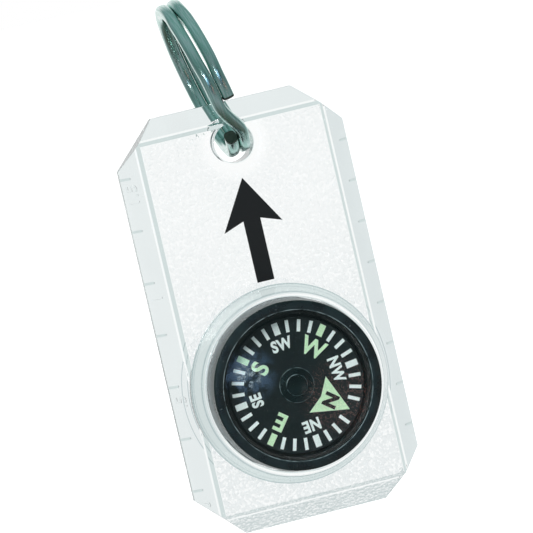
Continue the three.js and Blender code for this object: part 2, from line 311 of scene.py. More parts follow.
def turned(name, profile, centre=CAPSULE, segments=160):
    """A turned piece: the point (r, h) of a profile at angle a goes to
    (centre + r sin a, height h, centre + r cos a)."""
    profile = np.asarray(profile, float)
    turn = np.arange(segments) * tau / segments
    radius, height = profile[:, :1], profile[:, 1:]
    points = front(radius * np.sin(turn), radius * np.cos(turn), height, centre)
    return mesh_object(name, points, grid_faces(len(profile), segments).tolist())


def prisms(name, near, far):
    """Straight bars: each outline in near is joined to the same outline in far and capped."""
    near = np.asarray(near, float)
    far = np.asarray(far, float)
    count, sides = near.shape[:2]
    points = np.stack([near, far], 1)
    first = np.arange(count)[:, None] * 2 * sides
    j = np.arange(sides)
    ahead = (j + 1) % sides
    walls = np.stack([first + j, first + ahead, first + sides + ahead, first + sides + j], -1)
    caps = np.concatenate([first + j[::-1], first + sides + j])
    return mesh_object(name, points, walls.reshape(-1, 4).tolist() + caps.tolist())


def ring_of(outline, angles):
    """One outline of (across, outwards) points turned to each clockwise angle."""
    across, outwards = np.asarray(outline, float).T
    s, c = np.sin(angles)[:, None], np.cos(angles)[:, None]
    return np.stack([across * c + outwards * s, outwards * c - across * s], -1)


def boolean(made, cutter, operation):
    """Joins or cuts made with cutter, which is then removed. The solver gives nothing at all
    when a mesh crosses itself, so an empty result is an error."""
    step = made.modifiers.new("Cut", "BOOLEAN")
    step.operation = operation
    step.solver = "EXACT"
    step.object = cutter
    bake_modifiers(made)
    tidy_mesh(made.data)
    if not made.data.polygons:
        raise RuntimeError(f"{made.name}: nothing is left after {operation} with {cutter.name}")
    mesh = cutter.data
    bpy.data.objects.remove(cutter)
    bpy.data.meshes.remove(mesh)
    return made


def bake_modifiers(made):
    """Replaces an object's mesh by the result of its modifiers."""
    depsgraph = bpy.context.evaluated_depsgraph_get()
    result = bpy.data.meshes.new_from_object(made.evaluated_get(depsgraph))
    old = made.data
    made.modifiers.clear()
    made.data = result
    result.name = made.name
    bpy.data.meshes.remove(old)


def text_mesh(text, height, weight):
    """A flat word or letter as a mesh: centred, height tall, thickened by weight."""
    curve = bpy.data.curves.new("letters", "FONT")
    curve.body = text
    curve.offset = weight
    curve.space_character = 1.08
    curve.resolution_u = 6
    made = bpy.data.objects.new("letters", curve)
    bpy.context.scene.collection.objects.link(made)
    depsgraph = bpy.context.evaluated_depsgraph_get()
    mesh = bpy.data.meshes.new_from_object(made.evaluated_get(depsgraph))
    points = read(mesh.vertices, "co")
    low, high = points.min(0), points.max(0)
    points = (points - (low + high) / 2) * height / (high[1] - low[1])
    mesh.vertices.foreach_set("co", points.ravel())
    bpy.data.objects.remove(made)
    bpy.data.curves.remove(curve)
    return mesh


def lettering(name, words, depth, weight=0.02, narrow=1.0, taper=0.0):
    """Words as thin solid letters. Each is (text, height, place), where place is the matrix
    of its middle: local x along the word, y up the letters and z out of the surface. Narrow
    is the width of the letters against the font's own, and taper draws their foot in."""
    gathered = bmesh.new()
    for text, height, place in words:
        mesh = text_mesh(text, height, weight)
        work = bmesh.new()
        work.from_mesh(mesh)
        bpy.data.meshes.remove(mesh)
        bmesh.ops.remove_doubles(work, verts=work.verts, dist=DOUBLES)
        grown = bmesh.ops.extrude_face_region(work, geom=work.faces[:])
        raised = [item for item in grown["geom"] if isinstance(item, bmesh.types.BMVert)]
        bmesh.ops.translate(work, verts=raised, vec=(0, 0, depth))
        work.normal_update()
        for vert in set(work.verts) - set(raised):
            vert.co.xy -= vert.normal.xy.normalized() * taper
        bmesh.ops.transform(work, verts=work.verts, matrix=place @ Matrix.Diagonal((narrow, 1, 1, 1)))
        bmesh.ops.recalc_face_normals(work, faces=work.faces)
        part = bpy.data.meshes.new("part")
        work.to_mesh(part)
        work.free()
        gathered.from_mesh(part)
        bpy.data.meshes.remove(part)
    mesh = bpy.data.meshes.new(name)
    gathered.to_mesh(mesh)
    gathered.free()
    shade(mesh, SHARP)
    made = bpy.data.objects.new(name, mesh)
    bpy.context.scene.collection.objects.link(made)
    return made


def placed(x_axis, y_axis, z_axis, origin):
    """A matrix from three axes and an origin."""
    made = Matrix.Identity(4)
    for column, axis in enumerate((x_axis, y_axis, z_axis)):
        made.col[column].xyz = Vector(axis).normalized()
    made.translation = Vector(origin)
    return made


# ---- finishes ---------------------------------------------------------------------------------


class Number:
    """A shader value. Arithmetic on it adds Math nodes to its finish."""

    def __init__(self, finish, socket):
        self.finish = finish
        self.socket = socket

    def math(self, operation, *values):
        """The result of a Math node."""
        settings = {"operation": operation}
        return self.finish.node("ShaderNodeMath", settings, dict(enumerate(values))).value()

    def __add__(self, other):
        return self.math("ADD", self, other)

    def __sub__(self, other):
        return self.math("SUBTRACT", self, other)

    def __rsub__(self, other):
        return self.math("SUBTRACT", other, self)

    def __mul__(self, other):
        return self.math("MULTIPLY", self, other)

    def __abs__(self):
        return self.math("ABSOLUTE", self)

    __radd__ = __add__
    __rmul__ = __mul__

    def ramp(self, low, high, start=0.0, end=1.0):
        """Start below low and end above high, with a smooth change between."""
        settings = {"interpolation_type": "SMOOTHSTEP"}
        inputs = {"Value": self, "From Min": low, "From Max": high, "To Min": start, "To Max": end}
        return self.finish.node("ShaderNodeMapRange", settings, inputs).value("Result")


class Node:
    """A shader node, whose outputs are read as values or sockets."""

    def __init__(self, finish, node):
        self.finish = finish
        self.node = node

    def value(self, name=0):
        """One output as a value."""
        return Number(self.finish, self.node.outputs[name])


class Finish:
    """One material, or the world, built node by node."""

    def __init__(self, name, tree=None):
        if tree is None:
            self.material = bpy.data.materials.new(name)
            self.material.use_nodes = True
            tree = self.material.node_tree
            tree.nodes.clear()
            self.output = tree.nodes.new("ShaderNodeOutputMaterial")
        self.tree = tree

    def node(self, kind, settings=None, inputs=None):
        """A node of a kind, with its settings made first and then its sockets."""
        made = self.tree.nodes.new(kind)
        for name, value in (settings or {}).items():
            if name == "stops":
                self.set_stops(made.color_ramp, value)
            else:
                setattr(made, name, value)
        for name, value in (inputs or {}).items():
            self.feed(made.inputs[name], value)
        return Node(self, made)

    def feed(self, socket, value):
        """Links a value or a socket, or sets a constant."""
        if isinstance(value, Number):
            self.tree.links.new(value.socket, socket)
        elif isinstance(value, bpy.types.NodeSocket):
            self.tree.links.new(value, socket)
        else:
            socket.default_value = value

    def set_stops(self, ramp, stops):
        """Sets a colour ramp's stops from (position, colour) pairs in rising order."""
        while len(ramp.elements) > 1:
            ramp.elements.remove(ramp.elements[-1])
        ramp.elements[0].position = 0.0
        for position, rgb in stops[1:]:
            ramp.elements.new(position).color = (*rgb, 1.0)
        ramp.elements[0].color = (*stops[0][1], 1.0)

    def place(self):
        """The Object coordinates, which are the row's frame in metres."""
        return self.node("ShaderNodeTexCoord").node.outputs["Object"]

    def noise(self, size, detail=2.0, vector=None):
        """Noise whose features are about size across."""
        vector = self.place() if vector is None else vector
        inputs = {"Vector": vector, "Scale": 1 / size, "Detail": detail}
        return self.node("ShaderNodeTexNoise", {}, inputs).value("Fac")

    def cells(self, size):
        """Rounded cells about size across, as distance from the nearest cell's middle."""
        inputs = {"Vector": self.place(), "Scale": 1 / size}
        return self.node("ShaderNodeTexVoronoi", {"feature": "SMOOTH_F1"}, inputs).value("Distance")

    def blend(self, factor, first, second):
        """The colour between first and second."""
        settings = {"data_type": "RGBA"}
        made = self.node("ShaderNodeMix", settings).node
        colours = [socket for socket in made.inputs if socket.type == "RGBA"]
        self.feed(made.inputs[0], factor)
        for socket, value in zip(colours, (first, second)):
            self.feed(socket, (*value, 1.0) if isinstance(value, (tuple, list)) else value)
        return next(socket for socket in made.outputs if socket.type == "RGBA")

    def vector(self, operation, *values):
        """A Vector Math node."""
        return self.node("ShaderNodeVectorMath", {"operation": operation}, dict(enumerate(values)))

    def from_axis(self, x, z):
        """How far a point is from the line along Y through (x, z)."""
        offset = self.vector("SUBTRACT", self.place(), (x, 0, z)).node.outputs[0]
        flat = self.vector("MULTIPLY", offset, (1, 0, 1)).node.outputs[0]
        return self.vector("LENGTH", flat).value("Value")

    def rings(self, radii, width):
        """One in thin lines at some radii round the capsule's axis, and nought elsewhere."""
        radius = self.from_axis(*CAPSULE)
        lines = [abs(radius - at).ramp(0.0, width, 1.0, 0.0) for at in radii]
        return sum(lines[1:], lines[0])

    def towards(self, direction, axis):
        """The cosine between a direction and a fixed axis."""
        return self.vector("DOT_PRODUCT", direction, tuple(axis)).value("Value")

    def bump(self, height, depth):
        """A normal from a height field that is depth metres deep."""
        inputs = {"Strength": 1.0, "Distance": depth, "Height": height}
        return self.node("ShaderNodeBump", {}, inputs).node.outputs["Normal"]

    def surface(self, **inputs):
        """A Principled shader as the material's surface."""
        names = {name.replace("_", " "): value for name, value in inputs.items()}
        shader = self.node("ShaderNodeBsdfPrincipled", {}, names).node
        self.tree.links.new(shader.outputs["BSDF"], self.output.inputs["Surface"])
        return self.material


def shades(rgb, spread):
    """A darker and a lighter colour round rgb."""
    rgb = np.array(rgb)
    return tuple(rgb * (1 - spread)), tuple(np.minimum(rgb * (1 + spread), 1.0))


def clear_plastic(name="clear plastic", grain=False, lines=()):
    """Clear acrylic with faint flow marks and, as painted shade, thin dark lines round the capsule
    where faces meet; with grain, the pebbled face of the panel, its grain greyed as painted shade
    that grows away from the hole."""
    finish = Finish(name)
    tint = tuple(bpy.context.scene.compass_finishes.clear)
    flow = finish.noise(6 * MM, detail=1.0)
    specks = finish.noise(0.35 * MM, detail=3.0).ramp(0.68, 0.78)
    if grain:
        fine = finish.noise(0.22 * MM, detail=2.0)
        pebbles = finish.cells(0.36 * MM) * 0.7 + fine * 0.5
        from_hole = finish.from_axis(*HOLE)
        land = from_hole.ramp(2.9 * MM, 4.8 * MM)
        normal = finish.bump(pebbles * land, 0.3 * MM)
        # Painted shade: the pebbles are greyed in the base colour, more so further from the hole.
        depth = from_hole.ramp(10 * MM, 34 * MM, 0.35, 1.0)
        base = finish.blend(pebbles.ramp(0.38, 0.6) * land * depth, (1.0, 1.0, 1.0), (0.74, 0.78, 0.79))
        rough = 0.06 + fine * 0.1
    else:
        normal = finish.bump(flow + specks * 0.02, 0.02 * MM)
        base = finish.blend(flow.ramp(0.35, 0.65), *shades(tint, 0.008))
        # Painted shade: thin dark lines at the given radii round the capsule, where faces meet.
        if lines:
            base = finish.blend(finish.rings(lines, 0.1 * MM), base, (0.30, 0.40, 0.42))
        rough = 0.015 + specks * 0.12
    return finish.surface(
        Base_Color=base, Roughness=rough, Normal=normal, IOR=1.49, Transmission_Weight=1.0
    )


def black_plastic(name="black plastic", roughness=0.22, edges=(), side=0.0):
    """Moulded black plastic with a fine grain and a few dust specks; a painted highlight, broken
    up by noise, in thin rings at some radii, and a painted sheen on its side at another."""
    finish = Finish(name)
    tone = finish.noise(2.5 * MM, detail=4.0)
    dust = finish.noise(0.28 * MM, detail=1.0).ramp(0.74, 0.8)
    dark = tuple(bpy.context.scene.compass_finishes.black)
    base = finish.blend(tone.ramp(0.35, 0.7), *shades(dark, 0.35))
    base = finish.blend(dust * 0.35, base, (0.16, 0.18, 0.18))
    if edges:
        # Painted highlight: lighter thin rings at the edge radii, broken up by noise.
        edge_highlight = finish.rings(edges, 0.07 * MM) * finish.noise(0.9 * MM, detail=2.0).ramp(0.3, 0.65)
        base = finish.blend(edge_highlight, base, (0.15, 0.20, 0.21))
    # Painted sheen: a lighter thin ring at the radius of the side.
    if side:
        base = finish.blend(finish.rings((side,), 0.14 * MM), base, (0.07, 0.09, 0.10))
    normal = finish.bump(finish.noise(0.16 * MM, detail=3.0), 0.006 * MM)
    return finish.surface(
        Base_Color=base, Roughness=roughness + tone * 0.12 + dust * 0.2, Normal=normal, IOR=1.53
    )


def printed_black():
    """The dial's satin black print, with a fine mottle."""
    finish = Finish("dial print")
    mottle = finish.noise(0.22 * MM, detail=3.0)
    cloud = finish.noise(4 * MM, detail=2.0)
    base = finish.blend(mottle.ramp(0.4, 0.75), (0.002, 0.006, 0.007), (0.006, 0.014, 0.016))
    specks = finish.noise(0.14 * MM, detail=1.0).ramp(0.6, 0.75) * cloud.ramp(0.45, 0.65)
    base = finish.blend(specks * 0.6, base, (0.085, 0.06, 0.06))
    normal = finish.bump(mottle, 0.008 * MM)
    return finish.surface(Base_Color=base, Roughness=0.38 + cloud * 0.2, Normal=normal, IOR=1.5)


def ink(name, rgb, roughness=0.5, mottle=0.06):
    """Screen-printed ink: slightly uneven in colour, gloss and height."""
    finish = Finish(name)
    cover = finish.noise(0.12 * MM, detail=3.0)
    base = finish.blend(cover.ramp(0.3, 0.7), *shades(rgb, mottle))
    normal = finish.bump(cover, 0.004 * MM)
    return finish.surface(Base_Color=base, Roughness=roughness + cover * 0.15, Normal=normal)


def ring_steel():
    """Drawn and tumbled steel wire: fine lines along the wire, small dents and dull patches."""
    finish = Finish("ring steel")
    steel = tuple(bpy.context.scene.compass_finishes.steel)
    attribute = finish.node("ShaderNodeAttribute", {"attribute_name": "wire"}).node
    stretch = {"Vector": attribute.outputs["Vector"], "Scale": (1, 14, 14)}
    lines = finish.node("ShaderNodeMapping", {}, stretch)
    along = finish.noise(2.4 * MM, detail=3.0, vector=lines.node.outputs["Vector"])
    patch = finish.noise(1.6 * MM, detail=3.0)
    pits = finish.noise(0.16 * MM, detail=1.0).ramp(0.66, 0.8)
    green = (steel[0] * 0.62, steel[1] * 0.86, steel[2] * 0.78)
    base = finish.blend(patch.ramp(0.3, 0.7), (steel[0] * 0.9, steel[1] * 1.02, steel[2]), steel)
    base = finish.blend(along.ramp(0.38, 0.62), base, green)
    base = finish.blend(pits * 0.4, base, (0.12, 0.14, 0.14))
    normal = finish.bump(along * 0.8 + patch * 0.6 - pits * 0.5, 0.012 * MM)
    return finish.surface(
        Base_Color=base, Roughness=0.13 + along * 0.12 + pits * 0.2, Metallic=1.0, Normal=normal
    )


def bare_metal(name, rgb, roughness):
    """Plain machined metal with faint marks."""
    finish = Finish(name)
    marks = finish.noise(0.3 * MM, detail=4.0)
    base = finish.blend(marks.ramp(0.3, 0.7), *shades(rgb, 0.1))
    normal = finish.bump(marks, 0.004 * MM)
    roughness = roughness + marks * 0.15
    return finish.surface(Base_Color=base, Roughness=roughness, Metallic=1.0, Normal=normal)


def soft_finish(name, rgb, roughness, grain):
    """Rubber or tape: matt, with a grain of its own size."""
    finish = Finish(name)
    surface = finish.noise(grain, detail=3.0)
    base = finish.blend(surface.ramp(0.3, 0.7), *shades(rgb, 0.12))
    normal = finish.bump(surface, 0.01 * MM)
    return finish.surface(Base_Color=base, Roughness=roughness + surface * 0.1, Normal=normal)


def jewel():
    """The synthetic ruby of the bearing."""
    finish = Finish("jewel")
    depth = finish.noise(0.5 * MM, detail=2.0)
    base = finish.blend(depth.ramp(0.3, 0.7), (0.30, 0.012, 0.04), (0.5, 0.03, 0.08))
    return finish.surface(Base_Color=base, Roughness=0.04 + depth * 0.06, IOR=1.76)


def complete(made, body, slot, replaced, *materials):
    """Gives a piece its finish and its body and hides the node that it stands for; the slot is not
    used.
    """
    for material in materials:
        made.data.materials.append(material)
    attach(made, body)
    if replaced:
        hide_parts(replaced)
    return made


# ---- operators --------------------------------------------------------------------------------


class Maker(bpy.types.Operator):
    """What the operators share."""

    bl_options = {"REGISTER", "UNDO"}


class MakePlate(Maker):
    """The clear plate: bevelled blank, collar, pocket, hole and ruler marks."""

    bl_idname = "compass.make_plate"
    bl_label = "Clear plate"

    def execute(self, context):
        sizes = context.scene.compass_plate
        made = self.blank(sizes)
        made = boolean(made, self.collar(sizes), "UNION")
        made = boolean(made, self.pocket(sizes), "DIFFERENCE")
        made = boolean(made, self.hole(sizes), "DIFFERENCE")
        made = boolean(made, self.marks(sizes), "DIFFERENCE")
        made = boolean(made, self.numerals(sizes), "DIFFERENCE")
        shade(made.data, 33)
        # The clear plastic gets thin lines of painted shade at the collar's foot and rim.
        complete(made, "plate", "clear_plate", "baseplate",
                 clear_plastic(lines=(sizes.collar_foot - 0.12 * MM, sizes.collar_rim + 0.12 * MM)),
                 clear_plastic("pebbled clear plastic", grain=True))
        self.choose_pebbled(made.data, sizes)
        made.visible_shadow = False
        even_shading(made)
        return {"FINISHED"}

    def section(self, sizes, half):
        """Half the outline of a section, as distance from the middle and height."""
        inner = half - sizes.bevel_run
        return [(half, 0), (half, sizes.edge), (inner, sizes.bevel_height),
                (inner - sizes.ledge, sizes.bevel_height),
                (inner - sizes.ledge - sizes.step_run, sizes.thickness)]

    def blank(self, sizes):
        """The solid common to three straight bars: the section across, the section along
        and the outline with its cut corners, with its edges eased."""
        wide, tall = PLATE_WIDTH / 2, PLATE_LENGTH / 2
        over = 5 * MM
        across = np.array(self.section(sizes, wide))
        outline = np.concatenate([across, across[::-1] * (-1, 1)])
        ends = np.array([-tall - over, tall + over])[:, None]
        bars = front(outline[:, 0], ends, outline[:, 1])
        made = prisms("clear_plate", bars[:1], bars[1:])
        along = np.array(self.section(sizes, tall))
        along[0, 1] = -over
        outline = np.concatenate([along, along[::-1] * (-1, 1)])
        ends = np.array([-wide - over, wide + over])[:, None]
        bars = front(ends, outline[:, 0], outline[:, 1])
        made = boolean(made, prisms("along", bars[:1], bars[1:]), "INTERSECT")
        cut = sizes.corner
        quarter = np.array([(wide, tall - cut), (wide - cut, tall)])
        outline = np.concatenate([
            quarter, quarter[::-1] * (-1, 1), quarter * (-1, -1), quarter[::-1] * (1, -1),
        ])
        bars = front(outline[:, 0], outline[:, 1], np.array([-over, 2 * over])[:, None])
        made = boolean(made, prisms("outline", bars[:1], bars[1:]), "INTERSECT")
        ease = made.modifiers.new("Eased edges", "BEVEL")
        ease.width = sizes.rounding
        ease.segments = 3
        ease.limit_method = "ANGLE"
        ease.angle_limit = radians(8)
        bake_modifiers(made)
        return made

    def collar(self, sizes):
        """The cone round the capsule, from inside the plate up to its rim."""
        foot, rim = sizes.collar_foot, sizes.collar_rim
        points = [(0, sizes.edge), (foot, sizes.edge), (foot, sizes.thickness), (rim, H_COLLAR),
                  (0, H_COLLAR)]
        cuts = np.array([0, 0.25, 0.3]) * MM
        profile = rounded(points, cuts, steps=5)
        return turned("collar", profile, segments=224)

    def pocket(self, sizes):
        """The cutter for the pocket, flared where it meets the rim."""
        wall, flare = sizes.pocket, 0.15 * MM
        points = [(0, sizes.pocket_floor), (wall, sizes.pocket_floor), (wall, H_COLLAR - flare),
                  (wall + 2 * flare, H_COLLAR + flare), (wall + 2 * flare, H_COLLAR + MM),
                  (0, H_COLLAR + MM)]
        cuts = np.array([0.1, 0.12, 0, 0]) * MM
        return turned("pocket", rounded(points, cuts), segments=224)

    def hole(self, sizes):
        """The cutter for the hole, which widens at both faces as its edges are rounded."""
        wall, lead = sizes.hole_radius, sizes.hole_lead
        bend = np.linspace(0, pi / 2, 6)
        arc = np.stack([wall + lead * (1 - np.cos(bend)), lead * (1 - np.sin(bend))], 1)
        lower = arc[::-1]
        upper = np.stack([arc[:, 0], sizes.thickness - arc[:, 1]], 1)
        profile = np.concatenate([
            [(0, -MM), (wall + lead, -MM)], lower, upper,
            [(wall + lead, sizes.thickness + MM), (0, sizes.thickness + MM)],
        ])
        return turned("hole", profile, HOLE, segments=96)

    def bevel_frame(self, sizes, side, up):
        """Axes of the left (-1) or right (+1) bevel: inwards along the slope, up the plate and
        out of the surface, with its origin at the outer edge of the bevel."""
        rise = sizes.bevel_height - sizes.edge
        inwards = Vector((-side * sizes.bevel_run, -rise, 0)).normalized()
        up_axis = Vector((0, 0, 1))
        out = Vector((side * rise, -sizes.bevel_run, 0)).normalized()
        origin = Vector(front(side * PLATE_WIDTH / 2, up, sizes.edge))
        return inwards, up_axis, out, origin

    def scales(self):
        """The two rulers as (side, top, pitch, count): quarter inches and 5 mm."""
        return ((-1, 19.1 * MM, 6.35 * MM, 7), (1, 17.7 * MM, 5 * MM, 8))

    def marks(self, sizes):
        """The cutter for all ruler marks: for each a bar with a V below, square to the bevel."""
        half = sizes.mark_width / 2
        across = np.array([-half, 0, half, half, -half])
        outs = np.array([0, -1, 0, 1, 1]) * sizes.mark_depth
        near, far = [], []
        for side, top, pitch, count in self.scales():
            inwards, up_axis, out, origin = self.bevel_frame(sizes, side, top)
            ups = across - np.arange(count)[:, None] * pitch
            base = np.array(origin) + ups[..., None] * np.array(up_axis)
            base = base + outs[:, None] * np.array(out)
            near.append(base - np.array(inwards) * 0.3 * MM)
            far.append(base + np.array(inwards) * sizes.mark_length)
        return prisms("marks", np.concatenate(near), np.concatenate(far))

    def numerals(self, sizes):
        """The cutter for the inch scale's numerals, which read up the plate."""
        side, top, pitch = self.scales()[0][:3]
        words = []
        for step, text in ((0, "1.5"), (2, "1"), (4, ".5"), (6, "0")):
            inwards, up_axis, out, origin = self.bevel_frame(sizes, side, top - step * pitch)
            middle = origin + inwards * 1.35 * MM - up_axis * 1.9 * MM - out * sizes.mark_depth
            words.append((text, sizes.numeral, placed(up_axis, -inwards, out, middle)))
        return lettering("numerals", words, sizes.mark_depth * 2, weight=0.012, taper=0.02 * MM)

    def choose_pebbled(self, mesh, sizes):
        """Puts the pebbled finish on the flat front panel outside the collar and on the bevel
        at the plate's foot."""
        normals, centres = read(mesh.polygons, "normal"), read(mesh.polygons, "center")
        above = abs(BACK - centres[:, 1] - sizes.thickness)
        panel = (normals[:, 1] < -0.999) & (above < 0.02 * MM)
        front_foot = (normals[:, 1] < -0.5) & (normals[:, 2] < -0.2)
        foot = front_foot & (centres[:, 2] < PLATE_LOW[2] + 3 * MM)
        mesh.polygons.foreach_set("material_index", (panel | foot).astype(np.int32))


class MakeDirectionArrow(Maker):
    """The direction-of-travel arrow, printed in black on the panel."""

    bl_idname = "compass.make_direction_arrow"
    bl_label = "Direction arrow"

    def execute(self, context):
        thickness = context.scene.compass_plate.thickness
        half = np.array([(0.0, 6.6), (3.6, 0.6), (1.05, 1.5), (1.05, -6.0)]) * MM
        outline = np.concatenate([half, half[:0:-1] * (-1, 1)])
        middle = 9.6 * MM
        lift = np.array([0.01, 0.035])[:, None] * MM
        bars = front(outline[:, 0], outline[:, 1] + middle, thickness + lift)
        made = prisms("direction_arrow", bars[:1], bars[1:])
        complete(made, "plate", "clear_plate", None, ink("black ink", (0.006, 0.006, 0.007), 0.5))
        return {"FINISHED"}


class MakeHousing(Maker):
    """The black housing, with the tape under it and the plug in its floor."""

    bl_idname = "compass.make_housing"
    bl_label = "Capsule housing"

    def execute(self, context):
        self.housing(context.scene.compass_capsule)
        self.tape()
        self.plug()
        return {"FINISHED"}

    def housing(self, sizes):
        """A cup with a shoulder for the lens and a boss for the pin."""
        inside = H_HOUSING + sizes.floor
        boss, boss_height, seat_bore, seat_foot = 1.2 * MM, 3.3 * MM, 0.35 * MM, 2.1 * MM
        points = [
            (0, H_HOUSING), (sizes.foot, H_HOUSING), (sizes.foot, H_COLLAR), (sizes.rim, H_RIM),
            (sizes.seat, H_RIM), (sizes.seat, sizes.seat_height), (sizes.bore, sizes.seat_height),
            (sizes.bore, inside), (boss, inside), (boss, boss_height), (seat_bore, boss_height),
            (seat_bore, seat_foot), (0, seat_foot),
        ]
        cuts = np.array([0.3, 0.1, 0.22, 0.1, 0.05, 0.05, 0.4, 0.2, 0.15, 0.03, 0.03]) * MM
        made = turned("housing_cup", rounded(points, cuts, steps=5), segments=224)
        # The housing gets a painted highlight at the lens seat's edge and a painted sheen on its side.
        complete(made, "plate", "black_plastic", "capsule_housing",
                 black_plastic("housing plastic", edges=(sizes.seat + 0.1 * MM,), side=sizes.foot))
        even_shading(made)

    def tape(self):
        """The flat ring of tape under the housing."""
        outer, bottom, top = round_piece("capsule_adhesive")
        made = turned("tape_ring", rounded(washer(outer - 2 * MM, outer, bottom, top), 0.02 * MM, 2))
        finish = soft_finish("foam tape", (0.72, 0.70, 0.63), 0.7, 0.25 * MM)
        complete(made, "plate", "white_tape", "capsule_adhesive", finish)

    def plug(self):
        """The stopper of the filling hole, with a rounded head and a turning slot's dimple."""
        low, high = corners("filler_plug")
        radius, bottom, top = round_piece("filler_plug")
        dimple = 0.12 * MM
        points = [(0, bottom + dimple), (0.5 * radius, bottom + dimple), (0.62 * radius, bottom),
                  (radius, bottom), (radius, top), (0, top)]
        centre = ((low[0] + high[0]) / 2, (low[2] + high[2]) / 2)
        made = turned("fill_plug", rounded(points, 0.06 * MM), centre, segments=64)
        complete(made, "plate", "black_plastic", "filler_plug", black_plastic("plug plastic", 0.4))


class MakeLens(Maker):
    """The domed window and the gasket under it."""

    bl_idname = "compass.make_lens"
    bl_label = "Lens"

    def dome(self, radius, height, rise):
        """Points from the edge to the axis of a spherical cap that rises above height."""
        sphere = (radius * radius + rise * rise) / (2 * rise)
        r = radius * np.cos(np.linspace(0, pi / 2, 28))
        r[-1] = 0
        return np.stack([r, height + rise - sphere + np.sqrt(sphere**2 - r**2)], 1)

    def execute(self, context):
        sizes = context.scene.compass_capsule
        radius, foot, top = round_piece("capsule_lens")
        inner = self.dome(sizes.bore, foot, sizes.hollow)[::-1]
        outer = self.dome(radius - 0.05 * MM, top - sizes.dome, sizes.dome)
        wall = [(radius, foot + 0.03 * MM), (radius, top - sizes.dome - 0.04 * MM)]
        made = turned("domed_lens", np.concatenate([inner, wall, outer]), segments=224)
        complete(made, "plate", "clear_lens", "capsule_lens", clear_plastic("lens plastic"))
        made.visible_shadow = False
        even_shading(made)
        gasket = washer(sizes.bore, *round_piece("lens_seal"))
        gasket = turned("lens_gasket", rounded(gasket, 0.05 * MM))
        finish = soft_finish("gasket rubber", (0.012, 0.012, 0.012), 0.75, 0.1 * MM)
        complete(gasket, "plate", "black_rubber", "lens_seal", finish)
        return {"FINISHED"}


class MakePivot(Maker):
    """The pin that the card turns on and the jewel that rests on it."""

    bl_idname = "compass.make_pivot"
    bl_label = "Pivot"

    def execute(self, context):
        radius, foot, tip = round_piece("pivot_pin")
        shoulder = tip - 0.6 * MM
        points = [(0, foot), (radius, foot), (radius, shoulder), (0.03 * MM, tip), (0, tip)]
        made = turned("pivot_point", rounded(points, 0.05 * MM), segments=48)
        steel = bare_metal("pin steel", (0.62, 0.62, 0.62), 0.12)
        complete(made, "plate", "pin_steel", "pivot_pin", steel)
        radius, foot, top = round_piece("jewel_bearing")
        cup, apex = 0.45 * MM, foot + 0.7 * MM
        points = [(0, apex), (cup, foot), (radius, foot), (radius, top), (0, top)]
        made = turned("jewel_cup", rounded(points, 0.06 * MM), segments=64)
        complete(made, "card", "jewel", "jewel_bearing", jewel())
        return {"FINISHED"}


class MakeCard(Maker):
    """The card: its moulded disc with the hub, the printed face, the cap and the magnets."""

    bl_idname = "compass.make_card"
    bl_label = "Card"

    def execute(self, context):
        self.face()
        self.disc()
        self.cap()
        self.magnets()
        return {"FINISHED"}

    def face(self):
        """The thin printed disc with a rounded edge."""
        points = washer(0.86 * MM, *round_piece("dial_face"))
        made = turned("dial_disc", rounded(points, 0.05 * MM), segments=192)
        complete(made, "card", "dial_print", "dial_face", printed_black())
        even_shading(made)

    def disc(self):
        """The carrier under the face, with its hub."""
        edge, foot, top = round_piece("card_disc")
        bore, hub, web = 0.9 * MM, 2.1 * MM, 0.5 * MM
        points = [(bore, foot), (hub, foot), (hub, top - web), (edge, top - web), (edge, top),
                  (bore, top), (bore, foot)]
        made = turned("card_carrier", rounded(points, 0.1 * MM), segments=160)
        complete(made, "card", "black_plastic", "card_disc", black_plastic("carrier plastic", 0.35))
        even_shading(made)

    def cap(self):
        """The stepped button over the hub, with a shallow dish in its middle."""
        flange, bottom, top = round_piece("hub_cap")
        middle, knob = (bottom + top) / 2, 1.25 * MM
        points = [(0, bottom), (flange, bottom), (flange, middle), (knob, middle), (knob, top),
                  (0.85 * knob, top), (0.55 * knob, top - 0.06 * MM), (0, top - 0.06 * MM)]
        made = turned("hub_button", rounded(points, 0.07 * MM, steps=4), segments=96)
        # Painted highlight in thin rings at the knob's and the flange's edges.
        finish = black_plastic("cap plastic", 0.2, (knob, flange - 0.04 * MM))
        complete(made, "card", "black_plastic", "hub_cap", finish)
        even_shading(made)

    def magnets(self):
        """The two bars: a rounded section carried along, with drawn-in ends."""
        for node, name in (("magnet_bar_left", "magnet_left"), ("magnet_bar_right", "magnet_right")):
            self.magnet(node, name)

    def magnet(self, node, name):
        """One bar: the section |u|^6 + |v|^6 = 1, which draws in over the last stretch."""
        points = read(frame["nodes"][node].data.vertices, "co")
        middle = (points.min(0) + points.max(0)) / 2
        heading = card_heading()
        along = np.array([sin(heading), 0, cos(heading)])
        across = np.array([cos(heading), 0, -sin(heading)])
        out = np.array([0, -1.0, 0])
        centred = points - middle
        reach, width, thick = (abs(centred @ axis).max() for axis in (along, across, out))
        ends = 1 - np.array([1, 0.4, 0.12, 0, 0, 0.12, 0.4, 1]) ** 2 * 0.12
        ends[[0, -1]] = 0
        stations = np.array([-1, -1, -0.995, -0.98, 0.98, 0.995, 1, 1]) * reach
        u, v = flattened(32, 6, width, thick)
        section = u[:, None] * across + v[:, None] * out
        grid = middle + stations[:, None, None] * along + ends[:, None, None] * section
        made = mesh_object(name, grid, grid_faces(len(stations), len(u)).tolist())
        finish = bare_metal(name.replace("_", " ") + " steel", (0.12, 0.125, 0.13), 0.4)
        complete(made, "card", "magnet_steel", node, finish)


def card_heading():
    """Clockwise angle from the plate's top to the card's north, from where the magnets lie."""
    sides = [sum(corners(node)) / 2 for node in ("magnet_bar_left", "magnet_bar_right")]
    across = sides[1] - sides[0]
    return atan2(-across[2], across[0])


